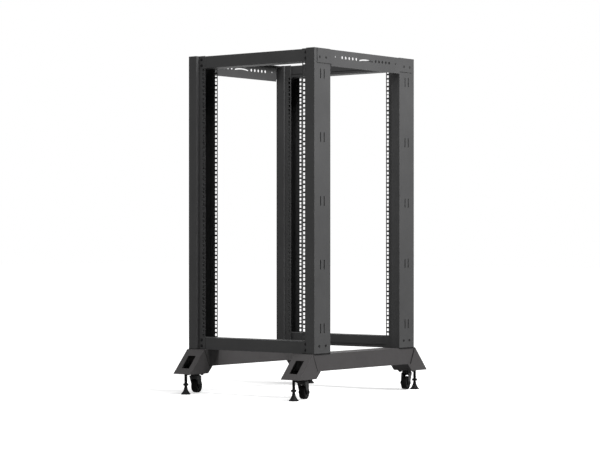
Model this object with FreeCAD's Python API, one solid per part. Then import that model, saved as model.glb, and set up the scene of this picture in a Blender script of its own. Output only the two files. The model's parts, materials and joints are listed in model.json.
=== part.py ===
import FreeCAD, Part
import math
import os

# Four post open frame rack, 22 units tall, on swivel casters and levelling feet.
# Millimetres. X runs across the rack, Y from front (minus) to back, Z up from the floor.
# The origin is on the floor under the middle of the frame.

# Frame and rack grid
unit_height = 44.45
rack_units = 22
end_units = 1
frame_width = 580.0
frame_depth = 600.0
rack_opening = 450.0
hole_column_spacing = 465.1
square_hole = 9.5
hole_steps = (6.35, 22.225, 38.1)
sheet = 2.0

# Posts, folded from one sheet with a stepped lip at each side
post_face = 36.0
post_web = 92.0
front_step = 15.0
inner_step = 6.0
slot_length = 35.0
slot_width = 4.5
slot_pair_spacing = 20.5
slot_first_unit = 2
slot_unit_pitch = 5
slot_rows = 5

# Cross rails between the posts, a lipped channel
cross_rail_depth = 60.0
cross_rail_lip = 9.0
rail_below_post_top = 1.5
rail_end_gap = 2.0

# Side rails, lapped outside the post webs
side_rail_height = 50.0
side_rail_drop = 8.0
side_rail_flange = 30.0
side_rail_setback = 15.0
flange_to_post_gap = 2.0
cable_hole = 11.0
cable_hole_pitch = 20.75
cable_holes_each_side = 5
cable_hole_first = 57.5
cable_hole_below_top = 24.0
cable_slot_length = 80.0
cable_slot_width = 8.0
cable_slot_rise = 6.0
fixing_hole = 6.0
fixing_hole_offset = 181.0

# Runners and feet
runner_height = 60.0
foot_width = 82.0
runner_lip = 12.0
foot_overhang = 9.0
foot_reach = 85.0
foot_height = 86.0
foot_floor_end = 13.0
foot_heel_end = 38.0
foot_seam_end = 20.0
window_width = 36.0
window_top_drop = 22.0
window_bottom_drop = 66.0
runner_end_gap = 3.0
ground_clearance = 74.0

# Levelling feet
leveller_inset = 63.0
rod_diameter = 10.0
rod_clearance = 0.05
rod_above_floor_plate = 9.0
insert_diameter = 18.0
insert_height = 7.0
disc_diameter = 35.0
disc_rim = 3.0
cone_height = 24.0
cone_top_diameter = 12.0
nut_across_flats = 15.0
nut_height = 7.0
nut_centre_height = 36.0

# Casters
caster_from_leveller = 51.0
caster_plate = 48.0
caster_plate_thickness = 2.5
race_diameter = 34.0
race_height = 6.0
race_gap = 0.4
swivel_pin_diameter = 9.0
pin_clearance = 0.06
wheel_diameter = 50.0
wheel_width = 20.0
wheel_lift = 3.0
wheel_trail = 11.5
wheel_groove = 2.0
axle_diameter = 8.0
axle_clearance = 0.06
hub_width = 21.0
hub_diameter = 17.0
fork_sheet = 2.5
fork_side_gap = 1.0
fork_leg_width = 24.0
axle_head = 3.5
axle_head_across_flats = 13.0
caster_headings = {"front_left": 13.0, "front_right": 17.0, "rear_left": 172.0, "rear_right": 195.0}

# Worked out from the values above
base_top = ground_clearance + foot_height
post_height = (rack_units + 2 * end_units) * unit_height
post_top = base_top + post_height
rail_top = post_top - rail_below_post_top
half_width = frame_width / 2
half_depth = frame_depth / 2
flange_end = rack_opening / 2
step_x = half_width - post_face
flange_y = -half_depth + front_step
lip_y = -half_depth + post_web - inner_step
inner_face_y = -half_depth + post_web
foot_middle_x = half_width - foot_width / 2
leveller_y = -half_depth - leveller_inset
swivel_y = leveller_y + caster_from_leveller
axle_z = wheel_lift + wheel_diameter / 2

corners = (("front_left", -1, 1), ("front_right", 1, 1), ("rear_left", -1, -1), ("rear_right", 1, -1))


def save(shape, name):
    shape.exportStep("parts/" + name + ".step")


def vec(x, y, z):
    return FreeCAD.Vector(x, y, z)


def folded_outline(points, thickness):
    """Closed outline of a folded sheet: the given face line and the same line moved to its left."""
    moved = []
    for index, (x, y) in enumerate(points):
        shift_x = 0.0
        shift_y = 0.0
        if index > 0:
            before = points[index - 1]
            length = math.hypot(x - before[0], y - before[1])
            shift_x += -(y - before[1]) / length
            shift_y += (x - before[0]) / length
        if index < len(points) - 1:
            after = points[index + 1]
            length = math.hypot(after[0] - x, after[1] - y)
            shift_x += -(after[1] - y) / length
            shift_y += (after[0] - x) / length
        scale = 2.0 / (shift_x ** 2 + shift_y ** 2) if 0 < index < len(points) - 1 else 1.0
        moved.append((x + thickness * shift_x * scale, y + thickness * shift_y * scale))
    return list(points) + moved[::-1]


def prism(outline, place, along):
    """Solid from a closed flat outline: place() puts each point in space, along is the sweep."""
    wire = Part.makePolygon([place(a, b) for a, b in outline + [outline[0]]])
    return Part.Face(wire).extrude(along)


def box(x0, x1, y0, y1, z0, z1):
    return Part.makeBox(x1 - x0, y1 - y0, z1 - z0, vec(x0, y0, z0))


def hexagon(across_flats, height, base, axis):
    """Six sided nut or bolt head standing on base along axis, which is X or Z."""
    radius = across_flats / math.sqrt(3)
    points = []
    for corner in range(7):
        angle = math.radians(60 * corner)
        a = radius * math.cos(angle)
        b = radius * math.sin(angle)
        points.append(base + (vec(a, b, 0) if axis.z else vec(0, a, b)))
    return Part.Face(Part.makePolygon(points)).extrude(axis * height)


def placed(shape, side, end):
    """The front right piece carried to the corner given by side and end."""
    result = shape
    if side < 0:
        result = result.mirror(vec(0, 0, 0), vec(1, 0, 0))
    if end < 0:
        result = result.mirror(vec(0, 0, 0), vec(0, 1, 0))
    return result


def obround(y, z, length, width, x0, x1):
    """Upright slot through the X direction with round ends."""
    half = length / 2 - width / 2
    r = width / 2
    left = Part.LineSegment(vec(x0, y - r, z - half), vec(x0, y - r, z + half))
    top = Part.Arc(vec(x0, y - r, z + half), vec(x0, y, z + half + r), vec(x0, y + r, z + half))
    right = Part.LineSegment(vec(x0, y + r, z + half), vec(x0, y + r, z - half))
    low = Part.Arc(vec(x0, y + r, z - half), vec(x0, y, z - half - r), vec(x0, y - r, z - half))
    wire = Part.Wire([left.toShape(), top.toShape(), right.toShape(), low.toShape()])
    return Part.Face(wire).extrude(vec(x1 - x0, 0, 0))


def make_post():
    face_line = [
        (flange_end, flange_y),
        (step_x, flange_y),
        (step_x, -half_depth),
        (half_width, -half_depth),
        (half_width, inner_face_y),
        (step_x, inner_face_y),
        (step_x, lip_y),
        (flange_end, lip_y),
    ]
    outline = folded_outline(face_line, sheet)
    post = prism(outline, lambda a, b: vec(a, b, base_top), vec(0, 0, post_height))
    column_x = hole_column_spacing / 2
    r = square_hole / 2
    tools = []
    for unit in range(rack_units):
        for step in hole_steps:
            z = base_top + (end_units + unit) * unit_height + step
            tools.append(box(column_x - r, column_x + r, flange_y - sheet, lip_y + sheet, z - r, z + r))
    web_middle = -half_depth + post_web / 2
    for row in range(slot_rows):
        z = base_top + (slot_first_unit + slot_unit_pitch * row) * unit_height
        for offset in (-slot_pair_spacing / 2, slot_pair_spacing / 2):
            y = web_middle + offset
            tools.append(obround(y, z, slot_length, slot_width, half_width - 2 * sheet, half_width + sheet))
    return post.cut(Part.makeCompound(tools))


def make_cross_rail(low_z):
    """Front rail, a lipped channel whose web lies behind the hole flanges of the posts."""
    web_y = flange_y + sheet
    back_y = web_y + cross_rail_depth
    high_z = low_z + unit_height - rail_below_post_top
    face_line = [
        (back_y, high_z - cross_rail_lip),
        (back_y, high_z),
        (web_y, high_z),
        (web_y, low_z),
        (back_y, low_z),
        (back_y, low_z + cross_rail_lip),
    ]
    outline = folded_outline(face_line, sheet)
    half_length = half_width - sheet - rail_end_gap
    return prism(outline, lambda a, b: vec(-half_length, a, b), vec(2 * half_length, 0, 0))


def make_side_rail():
    outer_x = half_width + sheet
    half_length = half_depth - side_rail_setback
    inner_half = -inner_face_y - flange_to_post_gap
    web = box(half_width, outer_x, -half_length, half_length, rail_top - side_rail_height, rail_top)
    low_z = rail_top - side_rail_height - side_rail_drop
    skirt = box(half_width, outer_x, -inner_half, inner_half, low_z, rail_top - side_rail_height)
    flange = box(outer_x - side_rail_flange, half_width, -inner_half, inner_half, rail_top - sheet, rail_top)
    rail = web.fuse([skirt, flange]).removeSplitter()
    hole_z = rail_top - cable_hole_below_top
    through = vec(1, 0, 0)
    start_x = half_width - sheet
    tools = []
    for number in range(cable_holes_each_side):
        y = cable_hole_first + number * cable_hole_pitch
        for side in (-1, 1):
            tools.append(Part.makeCylinder(cable_hole / 2, 3 * sheet, vec(start_x, side * y, hole_z), through))
    for side in (-1, 1):
        centre = vec(start_x, side * fixing_hole_offset, hole_z)
        tools.append(Part.makeCylinder(fixing_hole / 2, 3 * sheet, centre, through))
    tools.append(arched_slot(hole_z, start_x))
    return rail.cut(Part.makeCompound(tools))


def arched_slot(z, x):
    """Cable slot whose middle stands higher than its ends, bounded by two arcs and round ends."""
    half = cable_slot_length / 2 - cable_slot_width / 2
    r = cable_slot_width / 2
    rise = cable_slot_rise
    upper = Part.Arc(vec(x, -half, z + r), vec(x, 0, z + r + rise), vec(x, half, z + r))
    right = Part.Arc(vec(x, half, z + r), vec(x, half + r, z), vec(x, half, z - r))
    lower = Part.Arc(vec(x, half, z - r), vec(x, 0, z - r + rise), vec(x, -half, z - r))
    left = Part.Arc(vec(x, -half, z - r), vec(x, -half - r, z), vec(x, -half, z + r))
    wire = Part.Wire([upper.toShape(), right.toShape(), lower.toShape(), left.toShape()])
    return Part.Face(wire).extrude(vec(3 * sheet, 0, 0))


def make_runner():
    """Right runner, a channel open below with a lip turned in along each lower edge."""
    outer = half_width - sheet
    inner = half_width - foot_width + sheet
    low_z = base_top - runner_height
    face_line = [
        (outer - runner_lip, low_z),
        (outer, low_z),
        (outer, base_top),
        (inner, base_top),
        (inner, low_z),
        (inner + runner_lip, low_z),
    ]
    outline = folded_outline(face_line, sheet)
    half_length = half_depth + foot_overhang - runner_end_gap
    return prism(outline, lambda a, b: vec(a, -half_length, b), vec(0, 2 * half_length, 0))


def make_foot():
    """Front right foot: a welded box with a sloped front, lapped over the end of the runner."""
    brow = (-half_depth - foot_overhang, base_top)
    toe = (-half_depth - foot_reach, ground_clearance)
    heel = (-half_depth + foot_floor_end, ground_clearance)
    back = (-half_depth + foot_heel_end, base_top - runner_height)
    seam = (-half_depth + foot_seam_end, base_top - runner_height)
    crown = (brow[0] + runner_end_gap, base_top)
    inner_x = half_width - foot_width
    side_outline = [brow, toe, heel, back, seam, crown]
    parts = []
    for x in (inner_x, half_width - sheet):
        parts.append(prism(side_outline, lambda a, b, x=x: vec(x, a, b), vec(sheet, 0, 0)))
    band_outline = folded_outline([brow, toe, heel, back], sheet)
    band = prism(band_outline, lambda a, b: vec(inner_x, a, b), vec(foot_width, 0, 0))
    insert_base = vec(foot_middle_x, leveller_y, ground_clearance)
    parts.append(Part.makeCylinder(insert_diameter / 2, sheet + insert_height, insert_base))
    foot = band.fuse(parts)
    above = box(inner_x - 1, half_width + 1, toe[0], back[0], base_top, base_top + foot_height)
    nest = box(inner_x + sheet, half_width - sheet, crown[0], 0, base_top - runner_height, base_top)
    window = box(
        foot_middle_x - window_width / 2,
        foot_middle_x + window_width / 2,
        toe[0],
        brow[0] + runner_end_gap,
        base_top - window_bottom_drop,
        base_top - window_top_drop,
    )
    bore_base = insert_base - vec(0, 0, sheet)
    bore = Part.makeCylinder(rod_diameter / 2 + rod_clearance, insert_height + 3 * sheet, bore_base)
    return foot.cut([above, nest, window, bore]).removeSplitter()


def make_leveller():
    """Front right levelling foot: threaded rod, locking nut and a cone on a round pad."""
    rod_top = ground_clearance + rod_above_floor_plate
    profile = [
        (0, 0),
        (disc_diameter / 2, 0),
        (disc_diameter / 2, disc_rim),
        (cone_top_diameter / 2, cone_height),
        (rod_diameter / 2, cone_height),
        (rod_diameter / 2, rod_top),
        (0, rod_top),
    ]
    wire = Part.makePolygon([vec(a, 0, b) for a, b in profile + [profile[0]]])
    turned = Part.Face(wire).revolve(vec(0, 0, 0), vec(0, 0, 1), 360)
    nut = hexagon(nut_across_flats, nut_height, vec(0, 0, nut_centre_height - nut_height / 2), vec(0, 0, 1))
    foot = turned.fuse(nut).removeSplitter()
    foot.translate(vec(foot_middle_x, leveller_y, 0))
    return foot


def make_caster_plate():
    """Mounting plate with the upper race and the swivel pin, on the swivel axis."""
    half = caster_plate / 2
    low = ground_clearance - caster_plate_thickness
    race_low = low - race_height
    plate = box(-half, half, -half, half, low, ground_clearance)
    race = Part.makeCylinder(race_diameter / 2, race_height, vec(0, 0, race_low))
    pin_length = race_gap + fork_sheet
    pin = Part.makeCylinder(swivel_pin_diameter / 2, pin_length, vec(0, 0, race_low - pin_length))
    return plate.fuse([race, pin]).removeSplitter()


def make_caster_fork():
    """Pressed fork with its axle, legs carried down and back to the wheel centre."""
    crown_top = ground_clearance - caster_plate_thickness - race_height - race_gap
    crown_low = crown_top - fork_sheet
    leg_x = hub_width / 2 + fork_side_gap
    top_half = race_diameter / 2
    r = fork_leg_width / 2 - fork_sheet
    crown = box(-leg_x - fork_sheet, leg_x + fork_sheet, -top_half, top_half, crown_low, crown_top)
    parts = []
    for x in (-leg_x - fork_sheet, leg_x):
        front = Part.LineSegment(vec(x, wheel_trail - r, axle_z), vec(x, -top_half, crown_top))
        top = Part.LineSegment(vec(x, -top_half, crown_top), vec(x, top_half, crown_top))
        rear = Part.LineSegment(vec(x, top_half, crown_top), vec(x, wheel_trail + r, axle_z))
        low = Part.Arc(
            vec(x, wheel_trail + r, axle_z),
            vec(x, wheel_trail, axle_z - r),
            vec(x, wheel_trail - r, axle_z),
        )
        wire = Part.Wire([edge.toShape() for edge in (front, top, rear, low)])
        parts.append(Part.Face(wire).extrude(vec(fork_sheet, 0, 0)))
    axle_half = leg_x + fork_sheet
    along = vec(1, 0, 0)
    start = vec(-axle_half, wheel_trail, axle_z)
    parts.append(Part.makeCylinder(axle_diameter / 2, 2 * axle_half, start, along))
    parts.append(hexagon(axle_head_across_flats, axle_head, vec(axle_half, wheel_trail, axle_z), along))
    parts.append(hexagon(axle_head_across_flats, axle_head, start - along * axle_head, along))
    pin_bore_radius = swivel_pin_diameter / 2 + pin_clearance
    bore = Part.makeCylinder(pin_bore_radius, 3 * fork_sheet, vec(0, 0, crown_low - fork_sheet))
    return crown.fuse(parts).cut(bore).removeSplitter()


def make_caster_wheel():
    """Wheel with a proud hub, a sunk disc and a tyre with eased shoulders."""
    half = wheel_width / 2
    outer = wheel_diameter / 2
    rim = outer - wheel_width / 4
    bore = axle_diameter / 2 + axle_clearance
    hub = hub_diameter / 2
    side = [
        (bore, hub_width / 2),
        (hub, hub_width / 2),
        (hub, half - wheel_groove),
        (rim, half - wheel_groove),
        (rim, half),
        (outer - wheel_groove, half),
        (outer, half - wheel_groove),
    ]
    profile = side + [(radius, -across) for radius, across in side[::-1]]
    wire = Part.makePolygon([vec(a, 0, b) for b, a in profile + [profile[0]]])
    wheel = Part.Face(wire).revolve(vec(0, 0, 0), vec(1, 0, 0), 360)
    wheel.translate(vec(0, wheel_trail, axle_z))
    return wheel


def on_swivel(shape, side, end, heading):
    """A caster piece turned to its heading and carried to its swivel axis."""
    result = shape.copy()
    result.rotate(vec(0, 0, 0), vec(0, 0, 1), heading)
    result.translate(vec(side * foot_middle_x, end * swivel_y, 0))
    return result


os.makedirs("parts", exist_ok=True)
post = make_post()
foot = make_foot()
leveller = make_leveller()
for corner_name, side, end in corners:
    save(placed(post, side, end), "post_" + corner_name)
    save(placed(foot, side, end), "foot_" + corner_name)
    save(placed(leveller, side, end), "leveling_foot_" + corner_name)

low_rail = make_cross_rail(base_top)
high_rail = make_cross_rail(post_top - unit_height)
for end_name, end in (("front", 1), ("rear", -1)):
    save(placed(low_rail, 1, end), "bottom_rail_" + end_name)
    save(placed(high_rail, 1, end), "top_rail_" + end_name)

side_rail = make_side_rail()
runner = make_runner()
for side_name, side in (("left", -1), ("right", 1)):
    save(placed(side_rail, side, 1), "top_side_rail_" + side_name)
    save(placed(runner, side, 1), "base_runner_" + side_name)

plate = make_caster_plate()
fork = make_caster_fork()
wheel = make_caster_wheel()
for corner_name, side, end in corners:
    heading = caster_headings[corner_name]
    save(on_swivel(plate, side, end, 0), "caster_plate_" + corner_name)
    save(on_swivel(fork, side, end, heading), "caster_fork_" + corner_name)
    save(on_swivel(wheel, side, end, heading), "caster_wheel_" + corner_name)
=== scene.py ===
# %% [markdown]
# # A four post open frame rack
#
# The real rack is folded from black powder coated sheet steel. Four tall posts carry two rows of
# square holes each, cross rails and side rails tie them together, and two runners with splayed
# feet stand on casters and levelling feet. The posts, cross rails, runners and feet come from the
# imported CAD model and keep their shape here. This lesson adds the camera, the light and the
# finishes. It makes the side rails, forks, wheels and levelling feet again in finer detail, and
# adds the screws, bolts, plates, welds and seams that the CAD model leaves out.

import json
import math

import bmesh
import bpy
from mathutils import Matrix, Vector


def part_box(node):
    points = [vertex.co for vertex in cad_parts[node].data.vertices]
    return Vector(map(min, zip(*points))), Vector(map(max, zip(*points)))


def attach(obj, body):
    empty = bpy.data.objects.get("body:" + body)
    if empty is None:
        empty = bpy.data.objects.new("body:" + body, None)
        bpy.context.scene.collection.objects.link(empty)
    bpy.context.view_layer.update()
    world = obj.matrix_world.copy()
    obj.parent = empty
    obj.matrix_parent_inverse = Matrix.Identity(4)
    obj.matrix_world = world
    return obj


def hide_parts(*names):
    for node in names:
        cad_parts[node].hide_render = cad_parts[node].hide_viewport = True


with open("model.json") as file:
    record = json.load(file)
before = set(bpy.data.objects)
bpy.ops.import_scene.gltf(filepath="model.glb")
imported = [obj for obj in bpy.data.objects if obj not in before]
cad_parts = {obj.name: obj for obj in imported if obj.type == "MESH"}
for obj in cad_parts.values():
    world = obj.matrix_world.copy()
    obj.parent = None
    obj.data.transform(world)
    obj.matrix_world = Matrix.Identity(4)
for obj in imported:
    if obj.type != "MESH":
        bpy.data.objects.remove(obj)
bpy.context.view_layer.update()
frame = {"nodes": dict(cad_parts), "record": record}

# %% [markdown]
# ## Where the pieces are
#
# The rack is the same at all four corners. Its small pieces could be made once and mirrored with
# a modifier, but each of them has to ride on its own body, so they are made four times. Each
# corner needs only two signs: which side it is on and which end. The faces that the pieces sit on
# are read from the frame, so nothing has to be measured twice.

# %% Corners and faces
mm = 0.001
corners = {
    "front_left": (-1, -1),
    "front_right": (1, -1),
    "rear_left": (-1, 1),
    "rear_right": (1, 1),
}
post_low, post_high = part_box("post_front_right")


def corner_point(corner, x, y, z):
    """A point given for the front right corner, carried to another corner."""
    side, end = corners[corner]
    return Vector((side * x, -end * y, z))


def placed(point, outward):
    """A place whose own Z axis points outward."""
    turn = Vector(outward).to_track_quat("Z", "Y").to_matrix().to_4x4()
    return Matrix.Translation(point) @ turn


print("post from", [round(v / mm, 1) for v in post_low], "to", [round(v / mm, 1) for v in post_high])

# %% [markdown]
# ## The camera
#
# The photograph was taken level, from a little below the middle of the rack, with a long lens, so
# upright edges stay upright. Tilting the camera would make them lean together. A level camera
# with a small upward shift frames the rack the way a view camera does, and keeps them straight.

# %% Camera
image_width = 600
image_height = 450
horizon_row = 241.65
lens_length = 119.77
camera_place = (4.54608, -5.76094, 0.55171)
camera_heading = math.radians(38.341)
camera_data = bpy.data.cameras.new("studio_camera")
camera_data.sensor_width = 36.0
camera_data.lens = lens_length
camera_data.shift_y = (horizon_row - image_height / 2) / image_width
camera_data.clip_end = 100.0
camera = bpy.data.objects.new("studio_camera", camera_data)
camera.location = camera_place
camera.rotation_euler = (math.radians(90), 0, camera_heading)
bpy.context.scene.collection.objects.link(camera)
bpy.context.scene.camera = camera
bpy.context.scene.view_settings.view_transform = "Standard"
print("camera shift:", round(camera_data.shift_y, 4))

# %% [markdown]
# ## The studio
#
# The rack stands on a plain white floor in front of white nothing. A backdrop would show its edge
# in other views, so the world itself is white. The camera and mirror like surfaces see it as pure
# white. The light that falls on the rack from all round is much weaker, or black paint would turn
# grey. Light Path tells the two kinds of ray apart.


# %% World
def seen_directly(tree):
    """A socket that is 1 for camera, mirror and glass rays, and 0 for the light that they find."""
    path = tree.nodes.new("ShaderNodeLightPath")
    first = tree.nodes.new("ShaderNodeMath")
    first.operation = "MAXIMUM"
    second = tree.nodes.new("ShaderNodeMath")
    second.operation = "MAXIMUM"
    tree.links.new(path.outputs["Is Camera Ray"], first.inputs[0])
    tree.links.new(path.outputs["Is Glossy Ray"], first.inputs[1])
    tree.links.new(first.outputs[0], second.inputs[0])
    tree.links.new(path.outputs["Is Transmission Ray"], second.inputs[1])
    return second.outputs[0]


ambient_strength = 0.06
world = bpy.data.worlds.new("white_studio")
bpy.context.scene.world = world
world.use_nodes = True
tree = world.node_tree
background = tree.nodes["Background"]
background.inputs["Color"].default_value = (1, 1, 1, 1)
level = tree.nodes.new("ShaderNodeMapRange")
level.inputs["To Min"].default_value = ambient_strength
level.inputs["To Max"].default_value = 1.0
tree.links.new(seen_directly(tree), level.inputs["Value"])
tree.links.new(level.outputs["Result"], background.inputs["Strength"])
print("ambient strength:", ambient_strength)

# %% [markdown]
# ## The floor
#
# The floor looks white, keeps the soft shadow of the rack, and throws little light up at it. The
# lamps only reach the middle of it, so it glows by itself further out. Without that the horizon
# would be grey. The glow grows with the distance from the rack, which the texture coordinates
# give in metres.

# %% Floor
floor_reach = 30.0
near_glow = 0.62
glow_from = 0.9
glow_full = 3.2
seen_shade = 0.8
bounce_shade = 0.06
floor_mesh = bpy.data.meshes.new("studio_floor")
floor_corners = [(-1, -1), (1, -1), (1, 1), (-1, 1)]
floor_points = [(floor_reach * x, floor_reach * y, 0) for x, y in floor_corners]
floor_mesh.from_pydata(floor_points, [], [(0, 1, 2, 3)])
floor = bpy.data.objects.new("studio_floor", floor_mesh)
bpy.context.scene.collection.objects.link(floor)
floor_material = bpy.data.materials.new("studio_floor")
floor_material.use_nodes = True
tree = floor_material.node_tree
shader = tree.nodes["Principled BSDF"]
shader.inputs["Roughness"].default_value = 0.9
shader.inputs["Specular IOR Level"].default_value = 0.0
shader.inputs["Emission Color"].default_value = (1, 1, 1, 1)
direct = seen_directly(tree)
shade = tree.nodes.new("ShaderNodeMix")
shade.data_type = "RGBA"
shade.inputs["A"].default_value = (bounce_shade, bounce_shade, bounce_shade, 1)
shade.inputs["B"].default_value = (seen_shade, seen_shade, seen_shade, 1)
tree.links.new(direct, shade.inputs["Factor"])
tree.links.new(shade.outputs["Result"], shader.inputs["Base Color"])
coordinates = tree.nodes.new("ShaderNodeTexCoord")
distance = tree.nodes.new("ShaderNodeVectorMath")
distance.operation = "LENGTH"
tree.links.new(coordinates.outputs["Object"], distance.inputs[0])
growth = tree.nodes.new("ShaderNodeMapRange")
growth.inputs["From Min"].default_value = glow_from
growth.inputs["From Max"].default_value = glow_full
growth.inputs["To Min"].default_value = near_glow
growth.inputs["To Max"].default_value = 1.0
tree.links.new(distance.outputs["Value"], growth.inputs["Value"])
glow = tree.nodes.new("ShaderNodeMath")
glow.operation = "MULTIPLY"
tree.links.new(direct, glow.inputs[0])
tree.links.new(growth.outputs["Result"], glow.inputs[1])
tree.links.new(glow.outputs[0], shader.inputs["Emission Strength"])
floor_mesh.materials.append(floor_material)
print("floor is", 2 * floor_reach, "m across")

# %% [markdown]
# ## The lamps
#
# In the photograph the right hand faces are about three times as bright as the front ones, and
# they darken towards the floor. Point lamps would do that with hard shadows. Area lamps are soft
# because they are large: two stand on the right, the higher one the stronger. A lamp overhead
# lights what slopes upwards, and a wide one far in front keeps the fronts off black.


# %% Soft boxes
def softbox(name, place, aim, width, height, power):
    """A rectangular soft light at place, facing aim, that the camera doesn't see."""
    data = bpy.data.lights.new(name, "AREA")
    data.shape = "RECTANGLE"
    data.size = width
    data.size_y = height
    data.energy = power
    lamp = bpy.data.objects.new(name, data)
    lamp.location = place
    lamp.rotation_euler = (Vector(aim) - Vector(place)).to_track_quat("-Z", "Y").to_euler()
    lamp.visible_camera = False
    bpy.context.scene.collection.objects.link(lamp)


right_aim = (0.2, 0.0, 0.7)
softbox("key_softbox", (2.25, -0.05, 2.9), right_aim, width=1.0, height=1.0, power=118)
softbox("side_softbox", (2.8, 0.1, 1.8), right_aim, width=1.0, height=1.0, power=62)
softbox("top_softbox", (0.6, -0.5, 3.0), (0.1, -0.2, 0.3), width=1.2, height=1.2, power=45)
softbox("front_softbox", (-0.8, -5.0, 0.9), (0.0, 0.0, 0.6), width=2.4, height=2.0, power=95)

# %% [markdown]
# ## Finishes made of noise
#
# Every finish here is a plain surface with three kinds of noise on it: broad noise in its tone,
# finer noise in its sheen, and the finest as a bump for its grain. An image would show its seams
# on parts this long. Noise that is measured in the piece's own metres has no seams, and it
# doesn't slide when the piece moves.


# %% Noise in tone, sheen and grain
def noise_texture(tree, scale, detail):
    """Noise over the piece's own metres."""
    coordinates = tree.nodes.new("ShaderNodeTexCoord")
    texture = tree.nodes.new("ShaderNodeTexNoise")
    texture.inputs["Scale"].default_value = scale
    texture.inputs["Detail"].default_value = detail
    tree.links.new(coordinates.outputs["Object"], texture.inputs["Vector"])
    return texture.outputs["Fac"]


def spread(tree, value, low, high):
    """The middle of the noise's range, where most of it lies, carried to the range low..high."""
    span = tree.nodes.new("ShaderNodeMapRange")
    span.inputs["From Min"].default_value = 0.3
    span.inputs["From Max"].default_value = 0.7
    span.inputs["To Min"].default_value = low
    span.inputs["To Max"].default_value = high
    tree.links.new(value, span.inputs["Value"])
    return span.outputs["Result"]


def noisy_finish(name, tones, sheens, tone_noise, sheen_noise, grain, specular):
    """Tones and sheens are (low, high), a noise is (scale, detail), grain (scale, depth, strength)."""
    material = bpy.data.materials.new(name)
    material.use_nodes = True
    tree = material.node_tree
    shader = tree.nodes["Principled BSDF"]
    shader.inputs["Specular IOR Level"].default_value = specular

    blend = tree.nodes.new("ShaderNodeMix")
    blend.data_type = "RGBA"
    blend.inputs["A"].default_value = (*tones[0], 1)
    blend.inputs["B"].default_value = (*tones[1], 1)
    tone = spread(tree, noise_texture(tree, *tone_noise), 0.0, 1.0)
    tree.links.new(tone, blend.inputs["Factor"])
    tree.links.new(blend.outputs["Result"], shader.inputs["Base Color"])

    sheen = spread(tree, noise_texture(tree, *sheen_noise), *sheens)
    tree.links.new(sheen, shader.inputs["Roughness"])

    scale, depth, strength = grain
    bump = tree.nodes.new("ShaderNodeBump")
    bump.inputs["Strength"].default_value = strength
    bump.inputs["Distance"].default_value = depth
    tree.links.new(noise_texture(tree, scale, 2.0), bump.inputs["Height"])
    tree.links.new(bump.outputs["Normal"], shader.inputs["Normal"])
    return material


# %% [markdown]
# ## Black powder coat
#
# Powder coat is baked plastic. It is nearly black, has a satin sheen, and its surface is very
# slightly dimpled like orange peel. One flat colour would look like paper, so the tone and the
# sheen wander a little. The runners and feet are a shade warmer than the frame. The pieces laid
# where shadow lines fall between painted pieces get a much darker coat, which is painted shade.


# %% Paints
def powder_coat(name, dark, light, smoothest, roughest):
    return noisy_finish(
        name,
        tones=(dark, light),
        sheens=(smoothest, roughest),
        tone_noise=(9.0, 4.0),
        sheen_noise=(60.0, 3.0),
        grain=(700.0, 0.15 * mm, 0.25),
        specular=0.08,
    )


frame_paint = powder_coat("frame_powder_coat", (0.046, 0.046, 0.0465), (0.054, 0.054, 0.0545), 0.46, 0.58)
base_paint = powder_coat("base_powder_coat", (0.048, 0.0455, 0.046), (0.0555, 0.053, 0.0535), 0.46, 0.58)
# painted shade: the nearly black coat of the pieces laid where shadow lines fall
painted_shade_paint = powder_coat("painted_shade_coat", (0.006, 0.006, 0.006), (0.01, 0.01, 0.01), 0.6, 0.7)
print("paints:", [paint.name for paint in (frame_paint, base_paint, painted_shade_paint)])

# %% [markdown]
# ## Steel, moulded hubs and rubber
#
# The caster forks are thinly coated steel, the levelling feet and bolts are blackened steel, the
# post screws are darker still, the hubs are moulded nylon, and the tyres are dull black rubber.
# They could share one black, but then the casters would melt into one shape. They differ mostly
# in how dark they are and how sharply they reflect, and the rubber has the coarsest grain.


# %% Steel, nylon and rubber
def coated_steel(name, dark, light, smoothest, roughest):
    return noisy_finish(
        name,
        tones=(dark, light),
        sheens=(smoothest, roughest),
        tone_noise=(45.0, 5.0),
        sheen_noise=(240.0, 3.0),
        grain=(1500.0, 0.05 * mm, 0.2),
        specular=0.06,
    )


def moulded(name, dark, light, smoothest, roughest, depth):
    return noisy_finish(
        name,
        tones=(dark, light),
        sheens=(smoothest, roughest),
        tone_noise=(80.0, 4.0),
        sheen_noise=(150.0, 2.0),
        grain=(900.0, depth, 0.3),
        specular=0.05,
    )


fork_steel = coated_steel("fork_plated_steel", (0.03, 0.03, 0.031), (0.042, 0.042, 0.043), 0.5, 0.6)
black_steel = coated_steel("blackened_steel", (0.009, 0.009, 0.0095), (0.014, 0.014, 0.0145), 0.5, 0.62)
screw_steel = coated_steel("screw_black_oxide", (0.006, 0.006, 0.006), (0.01, 0.01, 0.01), 0.45, 0.6)
hub_nylon = moulded("hub_nylon", (0.012, 0.012, 0.012), (0.018, 0.018, 0.018), 0.5, 0.6, 0.03 * mm)
tyre_rubber = moulded("tyre_rubber", (0.004, 0.004, 0.004), (0.007, 0.007, 0.007), 0.7, 0.8, 0.1 * mm)
print("finishes in all:", len(bpy.data.materials))

# %% [markdown]
# ## Painting the CAD pieces
#
# The folded sheet work is right as it was packed, so its meshes stay and only the material slots
# are filled. Each piece could be painted by its full name. Its family is enough, which is what
# its name begins with.

# %% Finishes on the CAD nodes
finishes = {
    "post": frame_paint,
    "top": frame_paint,
    "bottom": frame_paint,
    "base": base_paint,
    "foot": base_paint,
    "caster_plate": black_steel,
    "caster_fork": fork_steel,
    "caster_wheel": tyre_rubber,
    "leveling": black_steel,
}
for node_name, node in frame["nodes"].items():
    family = next(start for start in finishes if node_name.startswith(start))
    for entry in node.material_slots:
        entry.material = finishes[family]
print("painted", len(frame["nodes"]), "nodes")

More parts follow.
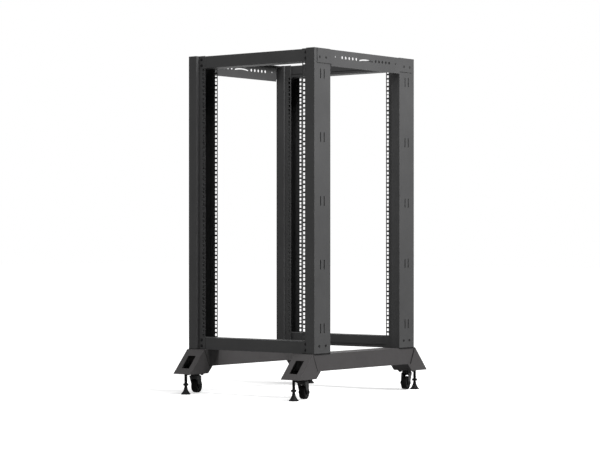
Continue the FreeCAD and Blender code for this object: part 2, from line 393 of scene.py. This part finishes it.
# %% [markdown]
# ## Turned shapes
#
# Screws, nuts, wheels and levelling feet are all round a middle line, so one tool makes them all.
# It stacks rings of points up the piece's own Z axis and skins each pair of neighbours. A ring
# may be round or six sided, so a nut is a stack too. A Screw modifier could turn them as well,
# but it knows only round shapes. A stack follows how a lathe and a spanner see such parts, and it
# puts edges only where the real piece has them.


# %% Rings and skins
def add_stack(bm, levels, steps=36):
    """Skins rings given as (radius, height), where both may change with the direction."""
    below = None
    for radius, height in levels:
        ring = []
        for step in range(1 if radius == 0 else steps):
            angle = math.tau * step / steps
            reach = radius(angle) if callable(radius) else radius
            rise = height(angle) if callable(height) else height
            ring.append(bm.verts.new((reach * math.cos(angle), reach * math.sin(angle), rise)))
        if below:
            add_skin(bm, below, ring)
        below = ring


def add_skin(bm, below, above):
    """Faces between two rings, either of which may be a single point."""
    count = max(len(below), len(above))
    for step in range(count):
        after = (step + 1) % count
        around = [below[step % len(below)], below[after % len(below)]]
        around += [above[after % len(above)], above[step % len(above)]]
        bm.faces.new(list(dict.fromkeys(around)))


# %% [markdown]
# ## Nuts and threads
#
# A nut could be cut from a hexagon with a cone, but cuts leave thin faces. Here it is a stack
# whose rings are the smaller of a hexagon and a circle, and the circle is what turned off its
# corners. A thread is a stack as well: each ring is pushed outward on one side, and the push moves
# round by one turn for each pitch of height.


# %% Nuts and threads
def six_sided(across_flats):
    """Distance from the middle to the side of a hexagon, for each direction."""
    half_side = math.pi / 6
    return lambda angle: across_flats / 2 / math.cos((angle + half_side) % (2 * half_side) - half_side)


def add_nut(bm, across_flats, low, high, hole):
    """A six sided nut from low to high, its corners turned off at both ends."""
    flat = across_flats / 2
    hexagon = six_sided(across_flats)
    rise = 0.12 * flat
    rings = []
    for number, share in enumerate((0, 0.33, 0.66, 1)):
        circle = 0.96 * flat + 1.7 * rise * share
        rings.append((lambda angle, circle=circle: min(hexagon(angle), circle), rise * number / 3))
    levels = [(hole, low)]
    levels += [(radius, low + depth) for radius, depth in rings]
    levels += [(radius, high - depth) for radius, depth in reversed(rings)]
    levels += [(hole, high), (hole, low)]
    add_stack(bm, levels)


def add_thread(bm, radius, pitch, low, high, steps=24):
    """A screw thread from low to high, with a point at each end of its middle line."""
    depth = 0.55 * pitch
    rows = max(2, round(6 * (high - low) / pitch))
    levels = [(0, low)]
    for row in range(rows + 1):
        z = low + (high - low) * row / rows
        fade = min(1.0, (z - low) / pitch + 0.2, (high - z) / pitch + 0.2)

        def crest(angle, z=z, fade=fade):
            push = 0.5 + 0.5 * math.cos(math.tau * z / pitch - angle)
            return radius - depth + depth * fade * push

        levels.append((crest, z))
    levels.append((0, high))
    add_stack(bm, levels, steps)


# %% [markdown]
# ## From points to a piece
#
# All smooth, a nut would look like soap; all flat, a wheel would show its facets. So each piece
# is shaded smooth, with sharp edges where the surface turns by more than an angle. Then it is
# told which body of the frame it moves with.

# %% Making a piece
merge_distance = 1e-7
sharp_angle = math.radians(32)


def make_piece(name, bm, place, finish, body):
    """Turns the mesh under work into an object at its place, riding on its body."""
    bmesh.ops.remove_doubles(bm, verts=bm.verts, dist=merge_distance)
    bmesh.ops.recalc_face_normals(bm, faces=bm.faces)
    mesh = bpy.data.meshes.new(name)
    bm.to_mesh(mesh)
    bm.free()
    mesh.materials.append(finish)
    mesh.shade_smooth()
    mesh.set_sharp_from_angle(angle=sharp_angle)
    piece = bpy.data.objects.new(name, mesh)
    piece.matrix_world = place
    bpy.context.scene.collection.objects.link(piece)
    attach(piece, body)
    return piece


# %% [markdown]
# ## Levelling feet
#
# Each levelling foot is a threaded rod that stands in a cone on a round pad, with a locking nut
# on the rod. The CAD model has the same shape without the thread. A thread drawn as a bump would
# have a smooth outline, and this one shows against the white floor, so it is cut for real. The
# rod, the nut and the pad are three pieces, all of them riding on the body that screws up and
# down. The cone's side is hollow: the loop pulls the middle of a straight line inward.

# %% Levelling feet
leveller_low, leveller_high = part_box("leveling_foot_front_right")
rod_radius = 5.7 * mm
thread_pitch = 1.5 * mm
pad_radius = (leveller_high.x - leveller_low.x) / 2
cone_base = 4.5 * mm
cone_wide = 15.5 * mm
cone_narrow = 5.75 * mm
cone_top = 24 * mm
cone_hollow = 6.0 * mm
cone_steps = 8
collar_radius = 7 * mm
nut_flats = 17 * mm
nut_middle = 36 * mm
nut_half = 4 * mm
pad_levels = [
    (0, 0.0),
    (pad_radius - 0.8 * mm, 0.0),
    (pad_radius, 0.8 * mm),
    (pad_radius, 2.6 * mm),
    (pad_radius - 0.5 * mm, 3.1 * mm),
    (cone_wide, cone_base),
]
for step in range(1, cone_steps + 1):
    share = step / cone_steps
    pull = cone_hollow * share * (1 - share)
    radius = cone_wide + (cone_narrow - cone_wide) * share
    height = cone_base + (cone_top - cone_base) * share
    pad_levels.append((radius - 0.9 * pull, height - 0.4 * pull))
pad_levels += [
    (collar_radius, cone_top - 1.6 * mm),
    (collar_radius, cone_top),
    (rod_radius - 1 * mm, cone_top),
]
leveller_x = (leveller_low.x + leveller_high.x) / 2
leveller_y = (leveller_low.y + leveller_high.y) / 2
for corner in corners:
    place = Matrix.Translation(corner_point(corner, leveller_x, leveller_y, 0))
    body = "leveller_" + corner
    pad = bmesh.new()
    add_stack(pad, pad_levels)
    nut = bmesh.new()
    add_nut(nut, nut_flats, nut_middle - nut_half, nut_middle + nut_half, rod_radius - thread_pitch)
    rod = bmesh.new()
    add_thread(rod, rod_radius, thread_pitch, cone_top - 3 * mm, leveller_high.z)
    for part, bm in (("pad", pad), ("nut", nut), ("rod", rod)):
        piece = make_piece(f"leveller_{part}_{corner}", bm, place, black_steel, body)
        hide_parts("leveling_foot_" + corner)
print("levelling foot pieces:", 3 * len(corners))

# %% [markdown]
# ## Wheels
#
# A caster wheel is a rubber tyre on a moulded hub. The CAD model has both in one solid, so two
# pieces replace it. A torus would make the tyre too round: its tread is nearly flat, with round
# shoulders and a faint mould line. The hub has six ribs in its sunk face. Both are the same on
# either side, so only one side is listed and the other is its mirror image.

# %% Tyres and hubs
wheel_radius = 25 * mm
wheel_steps = 96
tyre_half = 11.3 * mm
hub_half = 11.8 * mm
seat_radius = 18 * mm
shoulder = 3.5 * mm
shoulder_steps = 6
tread_crown = 0.6 * mm
tread_radius = wheel_radius - 0.12 * mm
tyre_side = [
    (seat_radius - 0.4 * mm, tyre_half - 1.2 * mm),
    (seat_radius, tyre_half - 0.2 * mm),
    (seat_radius + 0.6 * mm, tyre_half),
    (seat_radius + 2.4 * mm, tyre_half - 0.1 * mm),
]
for step in range(shoulder_steps + 1):
    turn = math.pi / 2 * step / shoulder_steps
    radius = wheel_radius - tread_crown - shoulder * (1 - math.sin(turn))
    tyre_side.append((radius, tyre_half - shoulder * (1 - math.cos(turn))))
for across in (0.7, 0.4, 0.15):
    half = (tyre_half - shoulder) * across
    tyre_side.append((tread_radius - 0.8 * tread_crown * across ** 2, half))
tyre_side += [(tread_radius, 0.35 * mm), (wheel_radius - 0.01 * mm, 0.2 * mm)]


def ribs(height, depth):
    """A sunk face with six ribs, as a height that changes with the direction."""
    return lambda angle: height - depth * (1 - max(0.0, math.cos(3 * angle)) ** 6)


def below_middle(height):
    """The same height on the other side of the middle, for each direction."""
    return lambda angle: -(height(angle) if callable(height) else height)


def both_sides(side):
    """A closed stack from one side's levels and their mirror image."""
    levels = [(radius, below_middle(height)) for radius, height in side] + side[::-1]
    return levels + levels[:1]


sunk_face = ribs(9.9 * mm, 1.0 * mm)
hub_side = [
    (4.3 * mm, hub_half - 0.6 * mm),
    (5.0 * mm, hub_half),
    (8.1 * mm, hub_half),
    (8.5 * mm, hub_half - 0.4 * mm),
    (8.6 * mm, sunk_face),
    (15.8 * mm, sunk_face),
    (16.4 * mm, 10.1 * mm),
    (17.5 * mm, 10.3 * mm),
    (17.9 * mm, 9.9 * mm),
]
joints = {joint["name"]: joint for joint in frame["record"]["behaviour"]["joints"]}
for corner in corners:
    spin = joints["wheel_spin_" + corner]
    place = placed(Vector(spin["pos_m"]), spin["axis"])
    tyre = bmesh.new()
    add_stack(tyre, both_sides(tyre_side), wheel_steps)
    hub = bmesh.new()
    add_stack(hub, both_sides(hub_side), wheel_steps)
    body = "wheel_" + corner
    tyre_piece = make_piece("tyre_" + corner, tyre, place, tyre_rubber, body)
    hub_piece = make_piece("wheel_hub_" + corner, hub, place, hub_nylon, body)
    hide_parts("caster_wheel_" + corner)
    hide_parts("caster_wheel_" + corner)
print("wheel pieces:", 2 * len(corners))

# %% [markdown]
# ## Screws for the posts
#
# Socket screws with flat heads hold the side rails to the posts and the posts to the base. They
# are countersunk at the top, so that their heads hardly stand out of the side rails. Button
# head screws with a washer hold the cross rails behind the hole flanges. From afar a dark dot
# would do for each, but close up the socket and the washer catch the light. So each screw is a
# few turned stacks: head, socket and thread, with a nut behind the sheets that it holds.

# %% Screw makers
screw_radius = 2.5 * mm
screw_pitch = 0.8 * mm
screw_steps = 18
small_nut_flats = 8 * mm
small_nut_height = 4 * mm
small_nut_hole = 2.0 * mm


def add_washer(bm, hole, rim, thickness):
    """A flat ring that stands on the piece's origin."""
    add_stack(bm, [(hole, 0.0), (rim, 0.0), (rim, thickness), (hole, thickness), (hole, 0.0)])


def flat_screw(head_height):
    """Head of that height on the origin, thread and nut along the negative Z axis."""
    head_radius = 4.5 * mm
    rim = min(0.4 * mm, 0.5 * head_height)
    socket = six_sided(3.2 * mm)
    neck_radius = 2.45 * mm
    neck_end = -2.0 * mm
    nut_top = -5.5 * mm
    bm = bmesh.new()
    add_stack(bm, [
        (0, head_height - 1.9 * mm),
        (socket, head_height - 1.8 * mm),
        (socket, head_height - 0.1 * mm),
        (six_sided(3.5 * mm), head_height),
        (head_radius - rim, head_height),
        (head_radius, head_height - rim),
        (head_radius, -0.6 * mm),
        (neck_radius, -0.6 * mm),
        (neck_radius, neck_end),
    ])
    add_thread(bm, screw_radius, screw_pitch, -13 * mm, neck_end, screw_steps)
    add_nut(bm, small_nut_flats, nut_top - small_nut_height, nut_top, small_nut_hole)
    return bm


def button_screw(length, grip):
    """Washer on the origin, head above it, thread below it with a nut past the grip."""
    washer = 0.8 * mm
    head_radius = 4.75 * mm
    socket = six_sided(3.0 * mm)
    dome = []
    for turn in (1.1, 0.9, 0.6, 0.3, 0):
        height = washer + 0.4 * mm + 2.2 * mm * math.sin(turn)
        dome.append((head_radius * math.cos(turn), height))
    bm = bmesh.new()
    add_washer(bm, 2.7 * mm, 5.6 * mm, washer)
    head = [(0, washer + 0.7 * mm), (socket, washer + 0.8 * mm), (socket, dome[0][1])]
    head += dome + [(head_radius, washer), (2.4 * mm, washer)]
    add_stack(bm, head)
    add_thread(bm, screw_radius, screw_pitch, -length, washer, screw_steps)
    add_nut(bm, small_nut_flats, -grip - small_nut_height, -grip, small_nut_hole)
    return bm


# %% [markdown]
# ## Placing the screws
#
# The photograph shows two screws in each post's web at the top and at the bottom, and two in the
# flange. They could be placed by eye, one by one. Instead they are measured from the faces of the
# front right post and carried to the other three corners, so that all four posts agree.

# %% Screws on the posts
sheet = 2 * mm
front_step = 15 * mm
rail_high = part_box("top_side_rail_right")[1]
web_rows = (28.5 * mm, 65.0 * mm)
web_screws = (
    ("top", rail_high.x, post_high.z - 32 * mm, 0.1 * mm),
    ("low", post_high.x, post_low.z + 28 * mm, 1.2 * mm),
)
flange_x = post_low.x + 16 * mm
flange_face = post_low.y + front_step
flange_steps = (13 * mm, 34 * mm)
screw_count = 0
for corner, (side, end) in corners.items():
    for number, row in enumerate(web_rows):
        for level_name, x, z, head_height in web_screws:
            point = corner_point(corner, x, post_low.y + row, z)
            make_piece(
                f"web_screw_{level_name}_{number}_{corner}",
                flat_screw(head_height),
                placed(point, (side, 0, 0)),
                screw_steel,
                "root",
            )
            screw_count += 1
    for number, step in enumerate(flange_steps):
        for level_name, z in (("top", post_high.z - step), ("low", post_low.z + step)):
            point = corner_point(corner, flange_x, flange_face, z)
            make_piece(
                f"flange_screw_{level_name}_{number}_{corner}",
                button_screw(12 * mm, 2 * sheet),
                placed(point, (0, end, 0)),
                black_steel,
                "root",
            )
            screw_count += 1
print("screws on the posts:", screw_count)

# %% [markdown]
# ## Caster plates
#
# Four hexagon bolts hold each caster plate under its foot, with nuts inside the foot. The upper
# race ends in a rolled dust lip that keeps grit out of the balls. The plate and the race are
# right in the CAD model, so these pieces are set on them and replace nothing.

# %% Caster bolts and dust lips
plate_low, plate_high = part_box("caster_plate_front_right")
plate_corners = ((-1, -1), (1, -1), (1, 1), (-1, 1))
plate_bolt_offset = 17.5 * mm
plate_face = plate_high.z - 2.5 * mm
lip_low = plate_low.z + 2.9 * mm
lip_inner = 16.7 * mm
lip_middle = 17 * mm
lip_radius = 0.9 * mm
lip_height = 2 * mm
lip_steps = 8


def plate_bolt():
    """Washer and head hang below the plate; the nut and the thread's end are inside the foot."""
    washer = 0.9 * mm
    flats = 9.6 * mm
    bm = bmesh.new()
    add_washer(bm, 3.2 * mm, 5.9 * mm, washer)
    add_nut(bm, flats, washer, 4.3 * mm, 0.1 * mm)
    add_thread(bm, 3.0 * mm, 1.0 * mm, -13 * mm, 1.0 * mm, 18)
    add_nut(bm, flats, -9.4 * mm, -4.5 * mm, 2.4 * mm)
    return bm


lip_levels = [(lip_inner, 0.0)]
for step in range(lip_steps + 1):
    turn = math.pi * (step / lip_steps - 0.5)
    radius = lip_middle + lip_radius * math.cos(turn)
    lip_levels.append((radius, lip_height / 2 + lip_radius * math.sin(turn)))
lip_levels += [(lip_inner, lip_height), (lip_inner, 0.0)]
for corner in corners:
    centre = Vector(joints["caster_swivel_" + corner]["pos_m"])
    for number, (a, b) in enumerate(plate_corners):
        point = Vector((centre.x + a * plate_bolt_offset, centre.y + b * plate_bolt_offset, plate_face))
        make_piece(
            f"caster_bolt_{number}_{corner}",
            plate_bolt(),
            placed(point, (0, 0, -1)),
            black_steel,
            "root",
        )
    lip = bmesh.new()
    add_stack(lip, lip_levels, 72)
    lip_place = Matrix.Translation((centre.x, centre.y, lip_low))
    make_piece("dust_lip_" + corner, lip, lip_place, black_steel, "root")
print("bolts and dust lips:", 5 * len(corners))

# %% [markdown]
# ## The outlines of a caster fork
#
# A caster fork is pressed from one sheet. Its crown runs under the race, its legs reach down and
# back to the axle, and a skirt closes the front down to an arch over the tyre. The CAD fork has
# no skirt, so this one takes its place. One sheet could be bent with modifiers, but its flat sides
# would bulge. Flat plates stay flat, and each of them is only an outline with a thickness.

# %% Fork outlines
fork_inner = 12.8 * mm
fork_thick = 2.5 * mm
fork_outer = fork_inner + fork_thick
crown_half = 17 * mm
crown_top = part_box("caster_fork_front_right")[1].z
leg_radius = 10 * mm
leg_steps = 12
arch_apex = crown_top - 10.5 * mm
arch_steps = 16
skirt_low = crown_top - 20 * mm


def add_plate(bm, outline, carry, thickness):
    """A flat plate: carry takes an outline point and a depth to a point of the piece."""
    rings = [[bm.verts.new(carry(a, b, depth)) for a, b in outline] for depth in (0.0, thickness)]
    add_skin(bm, rings[0], rings[1])
    bm.faces.new(rings[0][::-1])
    bm.faces.new(rings[1])


def leg_outline(trail, axle_z):
    """Side view of a leg: straight edges from the crown to a round end about the axle."""
    low = []
    for step in range(leg_steps + 1):
        angle = math.pi * (1 + step / leg_steps)
        low.append((trail + leg_radius * math.cos(angle), axle_z + leg_radius * math.sin(angle)))
    return [(-crown_half, crown_top)] + low + [(crown_half, crown_top)]


def skirt_outline():
    """Front view of the skirt: a straight top, and a round arch between the two legs."""
    arch = []
    for step in range(arch_steps + 1):
        angle = math.pi * step / arch_steps
        rise = (arch_apex - skirt_low) * math.sin(angle)
        arch.append((fork_inner * math.cos(angle), skirt_low + rise))
    left = [(-fork_outer, crown_top), (-fork_outer, skirt_low)]
    right = [(fork_outer, skirt_low), (fork_outer, crown_top)]
    return left + arch[::-1] + right


crown_outline = [
    (-fork_outer, -crown_half),
    (fork_outer, -crown_half),
    (fork_outer, crown_half),
    (-fork_outer, crown_half),
]
print("fork is", round(2 * fork_outer / mm, 1), "mm wide")

# %% [markdown]
# ## Folding the forks
#
# The trail, which is how far the axle lies behind the swivel, is read from the frame's joints. The
# skirt leans with the front edge of the legs. A small bevel turns the edges where the plates meet
# into bends, and a bolt with a head and a nut stands in for the axle.

# %% Caster forks
bend_radius = 0.7 * mm
axle_radius = 4 * mm
axle_flats = 13 * mm
axle_head = 3.5 * mm
axle_pitch = 1.25 * mm
axle_end = fork_outer + 4.7 * mm
for corner in corners:
    swivel = Vector(joints["caster_swivel_" + corner]["pos_m"])
    spin = joints["wheel_spin_" + corner]
    wheel = Vector(spin["pos_m"])
    across = Vector(spin["axis"])
    heading = math.atan2(across.y, across.x)
    trail = (Matrix.Rotation(-heading, 3, "Z") @ (wheel - swivel)).y
    lean = (trail - leg_radius + crown_half) / (crown_top - wheel.z)
    bm = bmesh.new()
    for x in (-fork_outer, fork_inner):
        add_plate(bm, leg_outline(trail, wheel.z), lambda a, b, d, x=x: (x + d, a, b), fork_thick)
    add_plate(bm, crown_outline, lambda a, b, d: (a, b, crown_top - fork_thick + d), fork_thick)
    add_plate(
        bm,
        skirt_outline(),
        lambda a, b, d: (a, -crown_half + (crown_top - b) * lean + d, b),
        fork_thick,
    )
    place = Matrix.Translation((swivel.x, swivel.y, 0)) @ Matrix.Rotation(heading, 4, "Z")
    fork = make_piece("fork_" + corner, bm, place, fork_steel, "swivel_" + corner)
    bend = fork.modifiers.new("bends", "BEVEL")
    bend.width = bend_radius
    bend.segments = 2
    bend.limit_method = "ANGLE"
    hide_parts("caster_fork_" + corner)
    bolt = bmesh.new()
    pin = [(0, -fork_outer), (axle_radius, -fork_outer), (axle_radius, fork_outer), (0, fork_outer)]
    add_stack(bolt, pin)
    add_nut(bolt, axle_flats, -fork_outer - axle_head, -fork_outer, 0.1 * mm)
    add_nut(bolt, axle_flats, fork_outer, fork_outer + axle_head, 3.2 * mm)
    add_thread(bolt, axle_radius, axle_pitch, fork_outer, axle_end)
    outward = across * corners[corner][0]
    axle = make_piece(
        "axle_bolt_" + corner,
        bolt,
        placed(wheel, outward),
        black_steel,
        "swivel_" + corner,
    )
    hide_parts("caster_fork_" + corner)
print("forks and axle bolts:", 2 * len(corners))

# %% [markdown]
# ## The side rail's outline
#
# Each top side rail is one sheet with a row of cable holes and an arched slot for straps. In the
# photograph that slot is narrow and nearly flat, so both rails are cut again here. The web is
# drawn as closed lines, as (y, z) points: its edge first, then the holes.

# %% Rail outline and holes
rail_drop = 8 * mm
rail_inner_half = -post_high.y - 2 * mm
rail_flange = 30 * mm
rail_end = rail_high.y
rail_base = rail_high.z - 50 * mm
hole_row = rail_high.z - 24 * mm
hole_radius = 5.5 * mm
hole_first = 57.5 * mm
hole_pitch = 20.75 * mm
slot_half = 37.75 * mm
slot_radius = 2.25 * mm
slot_rise = 4 * mm
slot_ends = hole_row - 3 * mm
slot_steps = 24
cap_steps = 8
fixing_offset = 181 * mm
fixing_radius = 3 * mm


def ring_line(a, b, radius, steps=28):
    """The points of a circle about (a, b)."""
    turns = [math.tau * step / steps for step in range(steps)]
    return [(a + radius * math.cos(turn), b + radius * math.sin(turn)) for turn in turns]


def slot_line():
    """The strap slot: two shallow arcs and two round ends."""
    upper = []
    lower = []
    for step in range(slot_steps + 1):
        share = 2 * step / slot_steps - 1
        middle = slot_ends + slot_rise * (1 - share * share)
        upper.append((share * slot_half, middle + slot_radius))
        lower.append((share * slot_half, middle - slot_radius))
    right = []
    for step in range(1, cap_steps):
        turn = math.pi / 2 - math.pi * step / cap_steps
        reach = slot_half + slot_radius * math.cos(turn)
        right.append((reach, slot_ends + slot_radius * math.sin(turn)))
    left = [(-a, b) for a, b in right]
    return upper + right + lower[::-1] + left[::-1]


web_line = [
    (-rail_end, rail_high.z),
    (-rail_end, rail_base),
    (-rail_inner_half, rail_base),
    (-rail_inner_half, rail_base - rail_drop),
    (rail_inner_half, rail_base - rail_drop),
    (rail_inner_half, rail_base),
    (rail_end, rail_base),
    (rail_end, rail_high.z),
]
holes = [slot_line()]
for way in (-1, 1):
    holes += [ring_line(way * (hole_first + hole_pitch * n), hole_row, hole_radius) for n in range(5)]
    holes.append(ring_line(way * fixing_offset, hole_row, fixing_radius, 20))
print("holes in each side rail:", len(holes))

# %% [markdown]
# ## Punching the side rails
#
# A flat curve fills its outline and leaves the closed lines inside it open, just as a punch does,
# and extruding it gives the sheet its thickness. The flat sheet is then stood upright, and a
# flange along its top edge is added to the same mesh.

# %% Side rails
stand_up = Matrix(((0, 0, 1, 0), (1, 0, 0, 0), (0, 1, 0, 0), (0, 0, 0, 1)))


def punched_sheet(name, outlines, thickness):
    """A mesh of a flat sheet: the first outline is its edge and the others are its holes."""
    pattern = bpy.data.curves.new(name, "CURVE")
    pattern.dimensions = "2D"
    pattern.fill_mode = "BOTH"
    pattern.extrude = thickness / 2
    for outline in outlines:
        line = pattern.splines.new("POLY")
        line.points.add(len(outline) - 1)
        for point, (a, b) in zip(line.points, outline):
            point.co = (a, b, 0, 1)
        line.use_cyclic_u = True
    holder = bpy.data.objects.new(name, pattern)
    bpy.context.scene.collection.objects.link(holder)
    evaluated = holder.evaluated_get(bpy.context.evaluated_depsgraph_get())
    mesh = bpy.data.meshes.new_from_object(evaluated)
    bpy.data.objects.remove(holder)
    return mesh


inner_x = rail_high.x - rail_flange
flange = [(inner_x, -rail_inner_half), (rail_high.x - sheet, -rail_inner_half)]
flange += [(a, -b) for a, b in reversed(flange)]
for side_name, side in (("left", -1), ("right", 1)):
    web = punched_sheet("rail_web", [web_line] + holes, sheet)
    web.transform(Matrix.Translation((side * (rail_high.x - sheet / 2), 0, 0)) @ stand_up)
    bm = bmesh.new()
    bm.from_mesh(web)
    add_plate(bm, flange, lambda a, b, d, side=side: (side * a, b, rail_high.z - sheet + d), sheet)
    rail = make_piece("side_rail_" + side_name, bm, Matrix(), frame_paint, "root")
    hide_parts("top_side_rail_" + side_name)
print("side rails: 2, each", round(2 * rail_end / mm, 1), "mm long")

# %% [markdown]
# ## Closed rear rails
#
# Seen from the front, both rear cross rails show a flat inner face, where the CAD channel is open
# between its lips. The whole rail could be made again, but the rest of it is right. A closing
# plate, flush with the lips, gives it that face. It stops above the lower lip, so a thin shadow
# stays along the lower edge.

# %% Closing plates
channel_lip = 9 * mm
shadow_gap = 2 * mm
for level_name in ("top", "bottom"):
    channel_low, channel_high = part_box(level_name + "_rail_rear")
    plate_base = channel_low.z + channel_lip + shadow_gap
    plate_top = channel_high.z - channel_lip
    outline = [(-channel_high.x, plate_base), (channel_high.x, plate_base)]
    outline += [(channel_high.x, plate_top), (-channel_high.x, plate_top)]
    bm = bmesh.new()
    add_plate(bm, outline, lambda a, b, d, face=channel_low.y: (a, face + d, b), sheet)
    make_piece("closing_plate_" + level_name, bm, Matrix(), frame_paint, "root")
    print("closing plate of the", level_name, "rail, mm:", round((plate_top - plate_base) / mm, 1))

# %% [markdown]
# ## Weld beads
#
# Each foot is a box that laps over the end of its runner, and a weld runs along the edge of both
# side plates. A dark line in the paint would do in one view only. The bead is a thin tube laid
# along a line, whose thickness swells and shrinks as the welder moves on. Its nearly black coat
# is painted shade for the shadow line along the edge, so it shows as a dark line from every side.

# %% Weld beads
foot_low, foot_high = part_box("foot_front_right")
bead_radius = 1.4 * mm
bead_stand = 0.6 * mm
bead_steps = 8
ripple_length = 2.2 * mm
ripple_rings = 4
ripple_share = 0.14
seam_top = (post_low.y - 6 * mm, foot_high.z - 0.6 * mm)
seam_low = (post_low.y + 20 * mm, foot_high.z - 59.4 * mm)


def add_bead(bm, points, radius):
    """A closed tube along a line of points, its rings swelling and shrinking as they go."""
    samples = []
    for start, stop in zip(points, points[1:]):
        count = max(1, round((stop - start).length / (ripple_length / ripple_rings)))
        samples += [start.lerp(stop, step / count) for step in range(count)]
    samples.append(points[-1])
    below = [bm.verts.new(samples[0])]
    for index, middle in enumerate(samples):
        ahead = samples[min(index + 1, len(samples) - 1)] - samples[max(index - 1, 0)]
        across = ahead.orthogonal().normalized() if abs(ahead.x) > abs(ahead.z) else Vector((1, 0, 0))
        upward = ahead.cross(across).normalized()
        across = upward.cross(ahead).normalized()
        swell = radius * (1 + ripple_share * math.sin(math.tau * index / ripple_rings))
        ring = []
        for step in range(bead_steps):
            angle = math.tau * step / bead_steps
            out = across * math.cos(angle) + upward * math.sin(angle)
            ring.append(bm.verts.new(middle + out * swell))
        add_skin(bm, below, ring)
        below = ring
    add_skin(bm, below, [bm.verts.new(samples[-1])])


for corner in corners:
    for edge_name, x in (("outer", foot_high.x - bead_stand), ("inner", foot_low.x + bead_stand)):
        bm = bmesh.new()
        add_bead(bm, [corner_point(corner, x, y, z) for y, z in (seam_top, seam_low)], bead_radius)
        # the bead's nearly black coat is painted shade along the foot's edge
        make_piece(f"weld_{edge_name}_{corner}", bm, Matrix(), painted_shade_paint, "root")
print("weld beads:", 2 * len(corners))

# %% [markdown]
# ## Seams under the posts
#
# In the photograph a dark line runs round the foot of each post, where it stands on the base.
# It is painted shade: a strip of nearly black coat laid in the shadow between the two painted
# pieces. The tube that made the welds makes it too, and it follows the folded outline of the post:
# web, front, step and flange.

# %% Seams under the posts
post_face = 36 * mm
shade_strip_radius = 1.9 * mm
shade_strip_inset = 0.4 * mm
shade_strip_rise = 0.6 * mm
end_inset = 1.5 * mm
web_x = post_high.x - shade_strip_inset
front_y = post_low.y + shade_strip_inset
step_x = post_high.x - post_face + shade_strip_inset
flange_y = post_low.y + front_step + shade_strip_inset
shade_strip_line = [
    (web_x, post_high.y - end_inset),
    (web_x, front_y),
    (step_x, front_y),
    (step_x, flange_y),
    (post_low.x + end_inset, flange_y),
]
for corner in corners:
    bm = bmesh.new()
    line = [corner_point(corner, x, y, post_low.z + shade_strip_rise) for x, y in shade_strip_line]
    add_bead(bm, line, shade_strip_radius)
    # painted shade: a nearly black strip where the shadow under the post falls
    make_piece(f"post_shade_strip_{corner}", bm, Matrix(), painted_shade_paint, "root")
print("seams under the posts:", len(corners))
